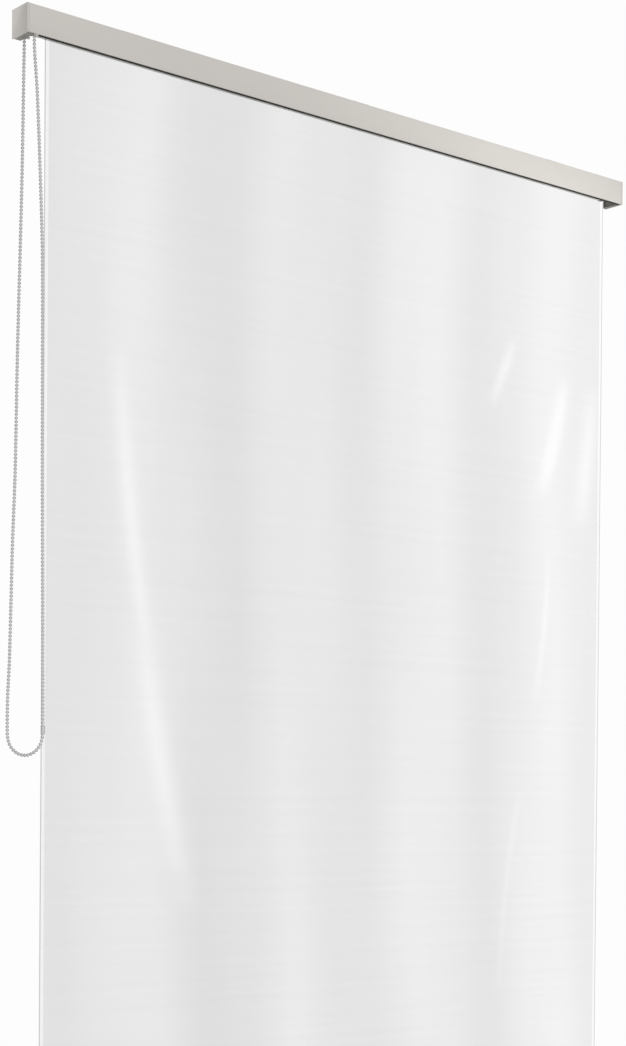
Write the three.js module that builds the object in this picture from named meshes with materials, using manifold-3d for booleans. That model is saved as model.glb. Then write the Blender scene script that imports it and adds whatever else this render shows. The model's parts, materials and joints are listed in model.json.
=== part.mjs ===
// A shower roller blind in a half cassette: a clear film on a roller, worked by an endless bead chain.
// Units are millimetres. +X runs along the cassette with the chain at the -X end, -Y is the side that
// faces into the room, +Z is up. The origin is the middle of the plane that is fixed to the ceiling.
import * as THREE from "three";
import { mergeVertices } from "three/addons/utils/BufferGeometryUtils.js";
import Module from "manifold-3d";

const wasm = await Module();
wasm.setup();

// ---- driving dimensions ----

const slipFit = 0.3; // gap between pieces that touch or slide
const runningFit = 0.3; // gap between a shaft and its bore, on the radius

const cassetteWidth = 1460;
const cassetteHeight = 47.5;
const cassetteDepth = 47.5;
const cassetteWall = 1.5;
const edgeRadius = 0.8;
const backWallHeight = 10;
const channelSlot = 18; // opening of the channel along the cassette's top
const channelWidth = 25;
const channelLip = 1;
const channelDepth = 3.4;
const channelWall = 1.2;
const portSize = 4.75; // block in each top corner that takes an end cap's peg
const portRadius = 1.6;

const clipPlate = 1.5;
const clipDepth = 40;
const clipWidth = 40;
const clipSpread = 520; // from the middle clip to each outer one
const clipLeg = 1.2;
const clipScrewRadius = 2.4;
const clipScrewSpacing = 24;

const ribThickness = 0.9; // of the two ribs that hold the wiper lip
const ribReach = 2.25;
const ribHook = 0.8;
const wiperGrooveHeight = 3.6;
const wiperGrooveBase = 4.6; // from the cassette's lower edge to the groove
const wiperDrop = 1; // from the cassette's lower edge down to the wiper's foot
const bracketLift = 0.4; // from the cassette's lower edge up to the brackets
const wiperToe = 1.1;
const wiperStem = 1;

const endCapPlate = 3;
const endCapPeg = 12;

const bracketPlate = 3;
const bracketRim = 2;
const bracketRoof = 3.6;
const driveRimDepth = 11.4;
const driveFloorDepth = 12.4; // how far the closed bottom reaches along the cassette
const driveFloor = 2.8;
const idleRimDepth = 6;
const idleTongueDepth = 17;
const idleTongueWidth = 28;
const hubRadius = 9;
const bracketScrewRadius = 1.6;
const bracketScrewSpacing = 18;
const driveScrewInset = 7; // from the bracket's outer face
const idleScrewInset = 12;
const screwHeadRadius = 3;
const screwHeadHeight = 1.9;
const screwTip = 1; // how far a screw stands out of the channel's floor
const driverSlot = 0.8;
const driverCross = 1.86; // half the length of a screw's cross slot
const screwDome = 2.1; // radius of the head's flat crown
const screwPoint = 0.6;

const axisDrop = 27.2; // from the ceiling to the roller's axis
const tubeRadius = 16;
const tubeWall = 1.2;
const tubeInset = 40; // from the cassette's right end to the tube
const clampWidth = 4;
const clampHeight = 1.5;
const keyWidth = 8; // rib inside the tube that turns with the drum and the plug
const keyHeight = 2.4;
const plugFlange = 2;
const flangeRim = 1.2; // how far a plug's flange stands out past the tube

const filmLeftInset = 38.2; // from the cassette's left end to the film's edge
const filmRightInset = 53.8;
const filmThickness = 0.3;
const woundThickness = 0.35;
const liftTurns = 22; // turns of the roller from fully lowered to fully raised

const railDepth = 12;
const railHeight = 26;
const railWall = 1.3;
const railCornerRadius = 3;
const railSlot = 1.3;
const railCapPlate = 3;
const railCapPlug = 10;
const kederRadius = 2.2;
const weightBarDepth = 4;
const weightBarHeight = 14;
const weightBarInset = 20; // from each end of the rail
const parkedGap = 2; // left between the raised rail and the cassette

const beadDiameter = 4.5;
const beadPitch = 6;
const wheelPockets = 16;
const wheelInset = 18.8; // from the cassette's left end to the chain wheel's middle
const wheelFlange = 1;
const wheelRim = 1.4; // flange height outside the pitch circle
const guardWall = 1.5;
const guardLift = 3.8; // from the cassette's lower edge up to the guard's
const guardGap = 0.65; // between the chain and the guard
const connectorLength = 14;
const connectorRadius = 3.3;
const connectorChamfer = 0.8;
const connectorDistance = 1142; // along the chain from where it leaves the guard

const spindleRadius = 6;
const spindleReach = 25.2; // from the chain wheel's middle to the spindle's shoulder
const retainerWidth = 1;
const retainerRim = 2.4; // how far the retainer stands out past the spindle
const retainerGroove = 0.9;
const retainerOpening = 90; // degrees
const springWire = 1;
const wrapTurns = 3;
const wrapPitch = 1.6;
const wrapSpringGap = 2.2; // between the two wrap springs
const tangThickness = 1;
const tangLength = 15;
const tangAngle = 50; // degrees round the spindle
const drumLength = 34;
const plugLength = 52;
const plugNoseRadius = 8;
const plugNoseLength = 14;
const plugBoreRadius = 6.2;
const plugEndWall = 6;
const pinRadius = 3;
const pinTailRadius = 2.2;
const pinTailLength = 20;
const pinCollarRadius = 5.6;
const pinCollarWidth = 3;
const pinSpringLength = 28;
const pinSpringTurns = 6;
const pinEngagement = 7; // how far the pin reaches into the bush
const bushWall = 2.4;
const bushLength = 12;
const bushFlange = 1.8;
const bushFlangeRadius = 7.5;

// ---- sizes that follow from them ----

const halfWidth = cassetteWidth / 2;
const front = -cassetteDepth / 2;
const back = cassetteDepth / 2;
const top = -(clipPlate + slipFit);
const bottom = top - cassetteHeight;
const innerFront = front + cassetteWall;
const innerBack = back - cassetteWall;
const underTop = top - cassetteWall;
const channelFloor = top - channelDepth;
const underChannel = channelFloor - channelWall;
const portY = -innerFront - portSize / 2;
const portZ = underTop - portSize / 2;
const endFace = halfWidth - endCapPlate - slipFit; // where the profile and the brackets end

const wheelX = -halfWidth + wheelInset;
const spindleRight = wheelX + spindleReach;
const chainRadius = beadDiameter / 2;
const wheelPitchRadius = (wheelPockets * beadPitch) / (2 * Math.PI);
const wheelHalf = chainRadius + slipFit + wheelFlange;
const drumLeft = wheelX + wheelHalf + slipFit;
const tubeLeft = drumLeft + plugFlange + slipFit;
const tubeRight = halfWidth - tubeInset;
const flangeRadius = tubeRadius + flangeRim;
const tubeBore = tubeRadius - tubeWall;
const plugRadius = tubeBore - runningFit;
const grooveWidth = clampWidth + 2 * slipFit;
const grooveRadius = tubeRadius - clampHeight - slipFit;
const keyRadius = tubeBore - keyHeight;
const spindleBore = spindleRadius + runningFit;
const retainerRadius = spindleRadius + retainerRim;
const wrapSpringRadius = spindleBore + springWire / 2;
const tangInner = wrapSpringRadius + springWire / 2 + slipFit;
const drumBore = tangInner + tangThickness + runningFit;
const guardRadius = wheelPitchRadius + chainRadius + guardGap;
const guardLeft = -endFace + driveRimDepth + slipFit;
const guardRight = tubeLeft - slipFit;
const guardSkirt = -(bottom + guardLift) - axisDrop; // from the axis down to the guard's lower edge

const plugNoseEnd = tubeRight + slipFit + plugFlange + plugNoseLength;
const pinCollarRight = plugNoseEnd - plugEndWall - slipFit;
const plugBoreLeft = pinCollarRight - pinCollarWidth - 2 * slipFit - pinSpringLength;
const bushRadius = pinRadius + runningFit + bushWall;
const bushRight = endFace - bracketPlate;
const bushLeft = bushRight - bushLength;

const woundBore = tubeRadius + slipFit;
const woundRadius = woundBore + woundThickness;
const filmPlane = -(woundRadius + slipFit + filmThickness / 2);
const filmLeft = filmLeftInset - halfWidth;
const filmWidth = cassetteWidth - filmLeftInset - filmRightInset;
const filmMiddle = filmLeft + filmWidth / 2;
const liftTravel = liftTurns * 2 * Math.PI * -filmPlane;
const railTop = bottom - parkedGap - liftTravel;
const kederDrop = railWall + slipFit + kederRadius; // from the rail's top to the keder's centre

// The bead chain's free run: out of the guard at the front, down, round and up into the guard's back.
const chainRoute = [
  [-711.2, -15.3, -46], [-710.7, -15.7, -75], [-707.4, -18.6, -135], [-704.9, -20.8, -205],
  [-702.6, -22.9, -281], [-700.6, -24.5, -350], [-699.4, -25.7, -412], [-698.7, -26.2, -500],
  [-698.4, -26.5, -590], [-698.1, -26.8, -680], [-697.8, -27.1, -766], [-697.0, -27.8, -882],
  [-696.3, -28.3, -972], [-695.8, -28.7, -1070], [-695.4, -29.1, -1136], [-695.2, -29.3, -1182],
  [-695.6, -28.7, -1200], [-698.2, -24.1, -1215], [-703.9, -13.5, -1226], [-711.2, 0, -1230],
  [-718.5, 13.5, -1226], [-724.2, 24.1, -1215], [-726.8, 28.7, -1200], [-727.2, 29.3, -1182],
  [-727.0, 29.1, -1136], [-725.0, 27.3, -1070], [-723.4, 26.0, -972], [-722.1, 24.8, -882],
  [-719.4, 22.4, -766], [-718.4, 21.6, -680], [-717.6, 20.9, -590], [-716.4, 19.9, -500],
  [-715.0, 18.7, -412], [-714.1, 17.8, -350], [-713.1, 17.0, -281], [-712.4, 16.3, -205],
  [-711.9, 15.9, -135], [-711.4, 15.5, -75], [-711.2, 15.3, -46],
];

// ---- materials ----

const finish = (color, roughness, metalness) => () =>
  new THREE.MeshStandardMaterial({ color, roughness, metalness });
const anodised = finish(0xd2cdc8, 0.45, 0.6);
const steel = finish(0xa9abad, 0.35, 0.9);
const springSteel = finish(0x8f9194, 0.4, 0.9);
const greyPlastic = finish(0xb9b6ae, 0.55, 0);
const darkPlastic = finish(0x6f6d69, 0.6, 0);
const whitePlastic = finish(0xefeeea, 0.45, 0);
const rubber = finish(0x34322f, 0.85, 0);
const beads = finish(0xe4e3df, 0.4, 0);
const clearFilm = () =>
  new THREE.MeshStandardMaterial({
    color: 0xeceeec, roughness: 0.2, metalness: 0, transparent: true, opacity: 0.35,
  });

// ---- solids ----

const alongX = new THREE.Matrix4().makeBasis(
  new THREE.Vector3(0, 1, 0),
  new THREE.Vector3(0, 0, 1),
  new THREE.Vector3(1, 0, 0),
);

function solidOf(geometry) {
  const plain = geometry.index ? geometry.toNonIndexed() : geometry;
  plain.deleteAttribute("normal");
  plain.deleteAttribute("uv");
  const merged = mergeVertices(plain, 1e-4);
  return new wasm.Manifold(
    new wasm.Mesh({
      numProp: 3,
      vertProperties: merged.attributes.position.array,
      triVerts: new Uint32Array(merged.index.array),
    }),
  );
}

function geometryOf(solid) {
  const { vertProperties, triVerts } = solid.getMesh();
  return new THREE.BufferGeometry()
    .setAttribute("position", new THREE.BufferAttribute(vertProperties, 3))
    .setIndex(new THREE.BufferAttribute(triVerts, 1));
}

// A section drawn in Y and Z, drawn out along X between two stations.
function bar(section, from, to) {
  const length = Math.abs(to - from);
  return new THREE.ExtrudeGeometry(section, { depth: length, bevelEnabled: false, curveSegments: 6 })
    .applyMatrix4(alongX)
    .translate(Math.min(from, to), 0, 0);
}

function box(x0, x1, y0, y1, z0, z1) {
  return new THREE.BoxGeometry(Math.abs(x1 - x0), Math.abs(y1 - y0), Math.abs(z1 - z0))
    .translate((x0 + x1) / 2, (y0 + y1) / 2, (z0 + z1) / 2);
}

// A round bar along X; stations is a list of [x, radius] from left to right.
function turned(stations, sides = 28) {
  const ends = [stations[0], stations[stations.length - 1]];
  const profile = [[ends[0][0], 0], ...stations, [ends[1][0], 0]];
  return new THREE.LatheGeometry(profile.map(([x, r]) => new THREE.Vector2(r, x)), sides)
    .rotateZ(-Math.PI / 2);
}

const rod = (from, to, radius, sides) => turned([[from, radius], [to, radius]], sides);

// A round pin up Z; stations is a list of [z, radius] from bottom to top.
function upright(stations, sides = 16) {
  const ends = [stations[0], stations[stations.length - 1]];
  const profile = [[ends[0][0], 0], ...stations, [ends[1][0], 0]];
  return new THREE.LatheGeometry(profile.map(([z, r]) => new THREE.Vector2(r, z)), sides)
    .rotateX(Math.PI / 2);
}

const polygon = (points) => new THREE.Shape(points.map(([y, z]) => new THREE.Vector2(y, z)));

function rectangle(y0, y1, z0, z1, radius) {
  const shape = new THREE.Shape();
  shape.absarc(y1 - radius, z1 - radius, radius, 0, Math.PI / 2);
  shape.absarc(y0 + radius, z1 - radius, radius, Math.PI / 2, Math.PI);
  shape.absarc(y0 + radius, z0 + radius, radius, Math.PI, 1.5 * Math.PI);
  shape.absarc(y1 - radius, z0 + radius, radius, 1.5 * Math.PI, 2 * Math.PI);
  return shape;
}

// A circle with a square notch at its top that reaches in to notchRadius.
function notchedCircle(radius, notchWidth, notchRadius, sides = 36) {
  const half = Math.asin(notchWidth / 2 / radius);
  const points = [];
  for (let i = 0; i <= sides; i++) {
    const angle = Math.PI / 2 + half + (i / sides) * 2 * (Math.PI - half);
    points.push([radius * Math.cos(angle), radius * Math.sin(angle)]);
  }
  points.push([notchWidth / 2, notchRadius], [-notchWidth / 2, notchRadius]);
  return points;
}

function ring(outer, inner, from, to, sides = 36) {
  const shape = new THREE.Shape().absarc(0, 0, outer, 0, 2 * Math.PI);
  shape.holes.push(new THREE.Path().absarc(0, 0, inner, 0, 2 * Math.PI, true));
  return new THREE.ExtrudeGeometry(shape, {
    depth: to - from, bevelEnabled: false, curveSegments: sides / 2,
  }).applyMatrix4(alongX).translate(from, 0, 0);
}

function arcBlock(outer, inner, middle, spread, from, to, sides = 6) {
  const start = THREE.MathUtils.degToRad(middle - spread / 2);
  const end = THREE.MathUtils.degToRad(middle + spread / 2);
  const shape = new THREE.Shape().absarc(0, 0, outer, start, end);
  shape.absarc(0, 0, inner, end, start, true);
  return new THREE.ExtrudeGeometry(shape, {
    depth: to - from, bevelEnabled: false, curveSegments: sides,
  }).applyMatrix4(alongX).translate(from, 0, 0);
}

// A round wire or cord swept along a curve.
function swept(curve, radius, steps, sides = 8) {
  const section = new THREE.Shape();
  for (let i = 0; i < sides; i++) {
    const angle = (i / sides) * 2 * Math.PI;
    const place = [radius * Math.cos(angle), radius * Math.sin(angle)];
    if (i) section.lineTo(...place);
    else section.moveTo(...place);
  }
  return new THREE.ExtrudeGeometry(section, { steps, extrudePath: curve, bevelEnabled: false });
}

class HelixAlongX extends THREE.Curve {
  constructor(start, radius, pitch, turns) {
    super();
    Object.assign(this, { start, radius, pitch, turns });
  }
  getPoint(t, target = new THREE.Vector3()) {
    const angle = t * this.turns * 2 * Math.PI;
    return target.set(
      this.start + t * this.turns * this.pitch,
      this.radius * Math.cos(angle),
      this.radius * Math.sin(angle),
    );
  }
}

// The part of a curve between two distances along it.
class Stretch extends THREE.Curve {
  constructor(whole, from, to) {
    super();
    Object.assign(this, { whole, from, to, length: whole.getLength() });
  }
  getPoint(t, target = new THREE.Vector3()) {
    const along = this.from + t * (this.to - this.from);
    return this.whole.getPointAt(Math.min(1, Math.max(0, along / this.length)), target);
  }
}

const group = new THREE.Group();
const roller = new THREE.Group();
roller.position.set(0, 0, -axisDrop);
const rail = new THREE.Group();
rail.position.set(filmMiddle, filmPlane, railTop);
group.add(roller, rail);

function add(parent, name, material, shape) {
  const geometry = shape.isBufferGeometry ? shape : geometryOf(shape);
  const mesh = new THREE.Mesh(geometry, material());
  mesh.name = name;
  parent.add(mesh);
  return mesh;
}

// ---- cassette ----

const ribTop = bottom + wiperGrooveBase + wiperGrooveHeight;
const ribBottom = bottom + wiperGrooveBase;
const ribFace = innerFront + ribReach;
const hookFace = ribFace - ribHook;
const halfSlot = channelSlot / 2;
const halfChannel = channelWidth / 2;
const outerChannel = halfChannel + channelWall;

function bracketScrewPlaces(side, inset) {
  return [-1, 1].map((way) => [side * (endFace - inset), (way * bracketScrewSpacing) / 2]);
}
const drivePlaces = bracketScrewPlaces(-1, driveScrewInset);
const idlePlaces = bracketScrewPlaces(1, idleScrewInset);

function cassetteSection() {
  const shape = polygon([
    [front + edgeRadius, bottom], [innerFront, bottom],
    [innerFront, ribBottom - ribThickness], [ribFace, ribBottom - ribThickness],
    [ribFace, ribBottom + ribHook], [hookFace, ribBottom + ribHook],
    [hookFace, ribBottom], [innerFront, ribBottom],
    [innerFront, ribTop], [hookFace, ribTop],
    [hookFace, ribTop - ribHook], [ribFace, ribTop - ribHook],
    [ribFace, ribTop + ribThickness], [innerFront, ribTop + ribThickness],
    [innerFront, underTop - portSize], [innerFront + portSize, underTop - portSize],
    [innerFront + portSize, underTop], [-outerChannel, underTop],
    [-outerChannel, underChannel], [outerChannel, underChannel],
    [outerChannel, underTop], [innerBack - portSize, underTop],
    [innerBack - portSize, underTop - portSize], [innerBack, underTop - portSize],
    [innerBack, top - backWallHeight], [back, top - backWallHeight],
    [back, top - edgeRadius], [back - edgeRadius, top],
    [halfSlot, top], [halfSlot, top - channelLip],
    [halfChannel, top - channelLip], [halfChannel, channelFloor],
    [-halfChannel, channelFloor], [-halfChannel, top - channelLip],
    [-halfSlot, top - channelLip], [-halfSlot, top],
  ]);
  shape.absarc(front + edgeRadius, top - edgeRadius, edgeRadius, Math.PI / 2, Math.PI);
  shape.absarc(front + edgeRadius, bottom + edgeRadius, edgeRadius, Math.PI, 1.5 * Math.PI);
  for (const y of [-portY, portY])
    shape.holes.push(new THREE.Path().absarc(y, portZ, portRadius, 0, 2 * Math.PI, true));
  return shape;
}

let cassette = solidOf(bar(cassetteSection(), -endFace, endFace));
const screwHole = bracketScrewRadius + slipFit;
for (const [x, y] of [...drivePlaces, ...idlePlaces]) {
  const hole = upright([[underChannel - 1, screwHole], [channelFloor + 1, screwHole]]);
  cassette = cassette.subtract(solidOf(hole.translate(x, y, 0)));
}
add(group, "cassette_profile", anodised, cassette);

function endCap(side) {
  const inner = side * (halfWidth - endCapPlate);
  let cap = solidOf(bar(rectangle(front, back, bottom, top, edgeRadius), inner, side * halfWidth));
  for (const y of [-portY, portY]) {
    const ends = [inner + side, inner - side * endCapPeg].sort((a, b) => a - b);
    cap = cap.add(solidOf(rod(...ends, portRadius - slipFit, 12).translate(0, y, portZ)));
  }
  return cap;
}
add(group, "left_end_cap", anodised, endCap(-1));
add(group, "right_end_cap", anodised, endCap(1));

// The leaf that wipes the film, held by its foot in the groove between the two ribs.
const footHook = hookFace - slipFit;
const wiperBack = ribFace + slipFit;
const wiperTip = filmPlane - filmThickness / 2 - slipFit;
const wiperBase = bottom - wiperDrop;
add(group, "wiper_lip", rubber, bar(polygon([
  [innerFront + slipFit, wiperBase], [wiperTip, wiperBase], [wiperTip, wiperBase + wiperToe],
  [wiperBack + wiperStem, wiperBase + 2 * wiperToe],
  [wiperBack + wiperStem, ribTop - ribHook - slipFit],
  [footHook, ribTop - ribHook - slipFit], [footHook, ribTop - slipFit],
  [innerFront + slipFit, ribTop - slipFit], [innerFront + slipFit, ribBottom + slipFit],
  [footHook, ribBottom + slipFit], [footHook, ribBottom + ribHook + slipFit],
  [wiperBack, ribBottom + ribHook + slipFit], [wiperBack, wiperBase + wiperToe],
  [innerFront + slipFit, wiperBase + wiperToe],
]), guardRight + slipFit, endFace - idleRimDepth - slipFit));

// ---- ceiling clips ----

function ceilingClip() {
  const legOuter = halfSlot - slipFit;
  const toeOuter = halfChannel - slipFit;
  const toeTop = top - channelLip - slipFit;
  const toeBottom = channelFloor + slipFit;
  let clip = solidOf(bar(polygon([
    [-clipDepth / 2, 0], [-clipDepth / 2, -clipPlate],
    [-legOuter, -clipPlate], [-legOuter, toeTop], [-toeOuter, toeTop], [-toeOuter, toeBottom],
    [clipLeg - legOuter, toeBottom], [clipLeg - legOuter, -clipPlate],
    [legOuter - clipLeg, -clipPlate], [legOuter - clipLeg, toeBottom], [toeOuter, toeBottom],
    [toeOuter, toeTop], [legOuter, toeTop], [legOuter, -clipPlate],
    [clipDepth / 2, -clipPlate], [clipDepth / 2, 0],
  ]), -clipWidth / 2, clipWidth / 2));
  for (const x of [-clipScrewSpacing / 2, clipScrewSpacing / 2]) {
    const hole = upright([[-2 * clipPlate, clipScrewRadius], [clipPlate, clipScrewRadius]]);
    clip = clip.subtract(solidOf(hole.translate(x, 0, 0)));
  }
  return clip;
}
[["left", -clipSpread], ["middle", 0], ["right", clipSpread]].forEach(([place, x]) => {
  add(group, `ceiling_clip_${place}`, steel, ceilingClip()).position.x = x;
});

// ---- brackets ----

// A moulded bracket: an end plate with a rim, a hub on the roller's axis and a roof for two screws.
function bracket(side, rimDepth, bore, hubEnd, screwPlaces, extras) {
  const at = (inset) => side * (endFace - inset);
  const shoulder = portY - portSize / 2 - 2 * slipFit;
  const roof = underChannel - slipFit;
  const belowPort = underTop - portSize - slipFit;
  const frontFace = ribFace + slipFit;
  const backFace = innerBack - slipFit;
  const base = bottom + bracketLift;
  let body = solidOf(bar(polygon([
    [frontFace, base], [backFace, base], [backFace, belowPort], [shoulder, belowPort],
    [shoulder, roof], [-shoulder, roof], [-shoulder, belowPort], [frontFace, belowPort],
  ]), at(0), at(rimDepth)));
  body = body.subtract(solidOf(box(
    at(bracketPlate), at(rimDepth + 1), frontFace + bracketRim, backFace - bracketRim,
    base + driveFloor, roof - bracketRoof,
  )));
  for (const extra of extras(at, roof, base)) body = body.add(solidOf(extra));
  const hub = [at(bracketPlate / 2), hubEnd].sort((a, b) => a - b);
  body = body.add(solidOf(rod(...hub, hubRadius).translate(0, 0, -axisDrop)));
  const through = [at(-1), hubEnd - side].sort((a, b) => a - b);
  body = body.subtract(solidOf(rod(...through, bore).translate(0, 0, -axisDrop)));
  for (const [x, y] of screwPlaces) {
    const hole = upright([[roof - bracketRoof - 1, screwHole], [roof + 1, screwHole]]);
    body = body.subtract(solidOf(hole.translate(x, y, 0)));
  }
  return body;
}

const driveFloorPlate = (at, roof, base) => [
  box(at(0), at(driveFloorDepth), innerFront + slipFit, innerBack - slipFit, base, base + driveFloor),
];
const idleTongue = (at, roof) => [
  box(at(1), at(idleTongueDepth), -idleTongueWidth / 2, idleTongueWidth / 2, roof - bracketRoof, roof),
];
const driveHubEnd = -endFace + driveRimDepth - slipFit;
add(group, "drive_housing", greyPlastic,
  bracket(-1, driveRimDepth, spindleBore, driveHubEnd, drivePlaces, driveFloorPlate));
add(group, "idle_bracket", greyPlastic,
  bracket(1, idleRimDepth, bushRadius + slipFit, bushLeft + bushFlange + slipFit, idlePlaces, idleTongue));

function bracketScrew() {
  const seat = underChannel - slipFit - bracketRoof - slipFit;
  const tip = channelFloor + screwTip;
  const screw = solidOf(upright([
    [seat - screwHeadHeight, screwDome], [seat - screwHeadHeight * 0.6, screwHeadRadius],
    [seat, screwHeadRadius], [seat, bracketScrewRadius], [tip - 1, bracketScrewRadius], [tip, screwPoint],
  ]));
  const deep = seat - screwHeadHeight / 2;
  const low = seat - screwHeadHeight - 1;
  return screw
    .subtract(solidOf(box(-driverCross, driverCross, -driverSlot / 2, driverSlot / 2, low, deep)))
    .subtract(solidOf(box(-driverSlot / 2, driverSlot / 2, -driverCross, driverCross, low, deep)));
}
[["drive", drivePlaces], ["idle", idlePlaces]].forEach(([end, places]) => {
  places.forEach(([x, y], i) => {
    add(group, `${end}_bracket_screw_${i + 1}`, steel, bracketScrew()).position.set(x, y, 0);
  });
});

// The hood that keeps the chain in the wheel.
function chainGuard() {
  const outer = guardRadius + guardWall;
  const shape = new THREE.Shape();
  shape.moveTo(outer, -guardSkirt);
  shape.absarc(0, 0, outer, 0, Math.PI);
  shape.lineTo(-outer, -guardSkirt);
  shape.lineTo(-guardRadius, -guardSkirt);
  shape.absarc(0, 0, guardRadius, Math.PI, 0, true);
  shape.lineTo(guardRadius, -guardSkirt);
  return new THREE.ExtrudeGeometry(shape, {
    depth: guardRight - guardLeft, bevelEnabled: false, curveSegments: 20,
  }).applyMatrix4(alongX).translate(guardLeft, 0, -axisDrop);
}
add(group, "chain_guard", greyPlastic, chainGuard());

// ---- drive ----

const retainerX = spindleRight - 2 * retainerWidth;
const grooveFloor = spindleRadius - retainerGroove;
add(group, "drive_spindle", steel, turned([
  [-endFace + slipFit, spindleRadius], [retainerX - slipFit, spindleRadius],
  [retainerX - slipFit, grooveFloor], [retainerX + retainerWidth + slipFit, grooveFloor],
  [retainerX + retainerWidth + slipFit, spindleRadius],
  [spindleRight, spindleRadius], [spindleRight + 1, spindleRadius - 1],
], 24).translate(0, 0, -axisDrop));
add(group, "spindle_retainer", springSteel, arcBlock(
  retainerRadius, grooveFloor + slipFit, 90, 360 - retainerOpening,
  retainerX, retainerX + retainerWidth, 18,
).translate(0, 0, -axisDrop));

function chainWheel() {
  const core = wheelPitchRadius - chainRadius - slipFit;
  const rim = wheelPitchRadius + wheelRim;
  const groove = chainRadius + slipFit;
  let wheel = solidOf(turned([
    [-wheelHalf, rim], [-groove, rim], [-groove, core], [groove, core], [groove, rim], [wheelHalf, rim],
  ], 40));
  for (const middle of [90, 270]) {
    const tang = arcBlock(
      tangInner + tangThickness, tangInner, middle, tangAngle, groove, wheelHalf + tangLength,
    );
    wheel = wheel.add(solidOf(tang));
  }
  return wheel.subtract(solidOf(rod(-wheelHalf - 1, wheelHalf + 1, spindleBore)));
}
add(roller, "chain_wheel", whitePlastic, chainWheel()).position.x = wheelX;

// A plug that slides into the tube over its inner rib, with a flange outside the tube.
function tubePlug(tubeEnd, side, length) {
  const flangeInner = tubeEnd + side * slipFit;
  const flangeOuter = flangeInner + side * plugFlange;
  const outline = polygon(notchedCircle(plugRadius, keyWidth + 2 * slipFit, keyRadius - slipFit));
  const body = solidOf(bar(outline, flangeInner, flangeInner - side * length));
  const ends = [flangeInner, flangeOuter].sort((a, b) => a - b);
  return body.add(solidOf(rod(...ends, flangeRadius, 40)));
}

const drum = tubePlug(tubeLeft, -1, drumLength)
  .subtract(solidOf(rod(drumLeft - 1, drumLeft + drumLength + 2 * plugFlange, drumBore)));
add(roller, "drive_drum", darkPlastic, drum);

const wrapStart = drumLeft + plugFlange + springWire;
for (let i = 0; i < 2; i++) {
  const start = wrapStart + i * (wrapTurns * wrapPitch + wrapSpringGap);
  const coil = new HelixAlongX(start, wrapSpringRadius, wrapPitch, wrapTurns);
  add(roller, `wrap_spring_${i + 1}`, springSteel, swept(coil, springWire / 2, wrapTurns * 14, 6));
}

// ---- roller ----

const tubeSection = polygon(notchedCircle(tubeRadius, grooveWidth, grooveRadius));
tubeSection.holes.push(polygon(notchedCircle(tubeBore, keyWidth, keyRadius)));
add(roller, "roller_tube", anodised, bar(tubeSection, tubeLeft, tubeRight));
add(roller, "film_clamp_strip", whitePlastic, box(
  filmLeft, filmLeft + filmWidth, -clampWidth / 2, clampWidth / 2,
  grooveRadius + slipFit, tubeRadius,
));
add(roller, "wound_film", clearFilm, ring(woundRadius, woundBore, filmLeft, filmLeft + filmWidth));

const plug = tubePlug(tubeRight, 1, plugLength)
  .add(solidOf(rod(tubeRight + slipFit, plugNoseEnd, plugNoseRadius)))
  .subtract(solidOf(rod(plugBoreLeft, plugNoseEnd - plugEndWall, plugBoreRadius)))
  .subtract(solidOf(rod(plugNoseEnd - plugEndWall - 1, plugNoseEnd + 1, pinRadius + runningFit)));
add(roller, "idle_plug", darkPlastic, plug);

const collarLeft = pinCollarRight - pinCollarWidth;
add(roller, "idle_pin", steel, turned([
  [collarLeft - pinTailLength, pinTailRadius], [collarLeft, pinTailRadius],
  [collarLeft, pinCollarRadius], [pinCollarRight, pinCollarRadius], [pinCollarRight, pinRadius],
  [bushLeft + pinEngagement - 1, pinRadius], [bushLeft + pinEngagement, pinRadius - 1],
], 24));
const pinSpringPitch = (pinSpringLength - springWire - 2 * slipFit) / pinSpringTurns;
add(roller, "idle_spring", springSteel, swept(
  new HelixAlongX(
    plugBoreLeft + slipFit + springWire / 2 + slipFit,
    pinTailRadius + slipFit + springWire, pinSpringPitch, pinSpringTurns,
  ), springWire / 2, pinSpringTurns * 10, 6,
));

const bush = solidOf(turned([
  [bushLeft, bushFlangeRadius], [bushLeft + bushFlange, bushFlangeRadius],
  [bushLeft + bushFlange, bushRadius], [bushRight, bushRadius],
])).subtract(solidOf(rod(bushLeft - 1, bushRight + 1, pinRadius + runningFit)));
add(group, "idle_bush", whitePlastic, bush).position.z = -axisDrop;

// ---- film and bottom rail ----

const filmEnd = railTop - kederDrop + kederRadius + slipFit;
add(group, "film", clearFilm, box(
  filmLeft, filmLeft + filmWidth, filmPlane - filmThickness / 2, filmPlane + filmThickness / 2,
  filmEnd, -axisDrop,
));

const railHalf = railDepth / 2;
const barTop = -(kederDrop + kederRadius + slipFit + railWall);
const barBottom = railWall - railHeight;
function railSection() {
  const shape = new THREE.Shape();
  const chamber = kederRadius + slipFit;
  const mouth = Math.asin(railSlot / 2 / chamber);
  const corner = railHalf - railCornerRadius;
  shape.moveTo(-railSlot / 2, 0);
  shape.absarc(-corner, -railCornerRadius, railCornerRadius, Math.PI / 2, Math.PI);
  shape.absarc(-corner, railCornerRadius - railHeight, railCornerRadius, Math.PI, 1.5 * Math.PI);
  shape.absarc(corner, railCornerRadius - railHeight, railCornerRadius, 1.5 * Math.PI, 2 * Math.PI);
  shape.absarc(corner, -railCornerRadius, railCornerRadius, 0, Math.PI / 2);
  shape.lineTo(railSlot / 2, 0);
  shape.absarc(0, -kederDrop, chamber, Math.PI / 2 - mouth, mouth - 1.5 * Math.PI, true);
  const inside = railHalf - railWall;
  shape.holes.push(polygon([
    [-inside, barTop], [-inside, barBottom + railCornerRadius],
    [railCornerRadius - inside, barBottom], [inside - railCornerRadius, barBottom],
    [inside, barBottom + railCornerRadius], [inside, barTop],
  ]));
  return shape;
}
const railEnd = filmWidth / 2;
add(rail, "bottom_rail", anodised, bar(railSection(), -railEnd, railEnd));
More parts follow.
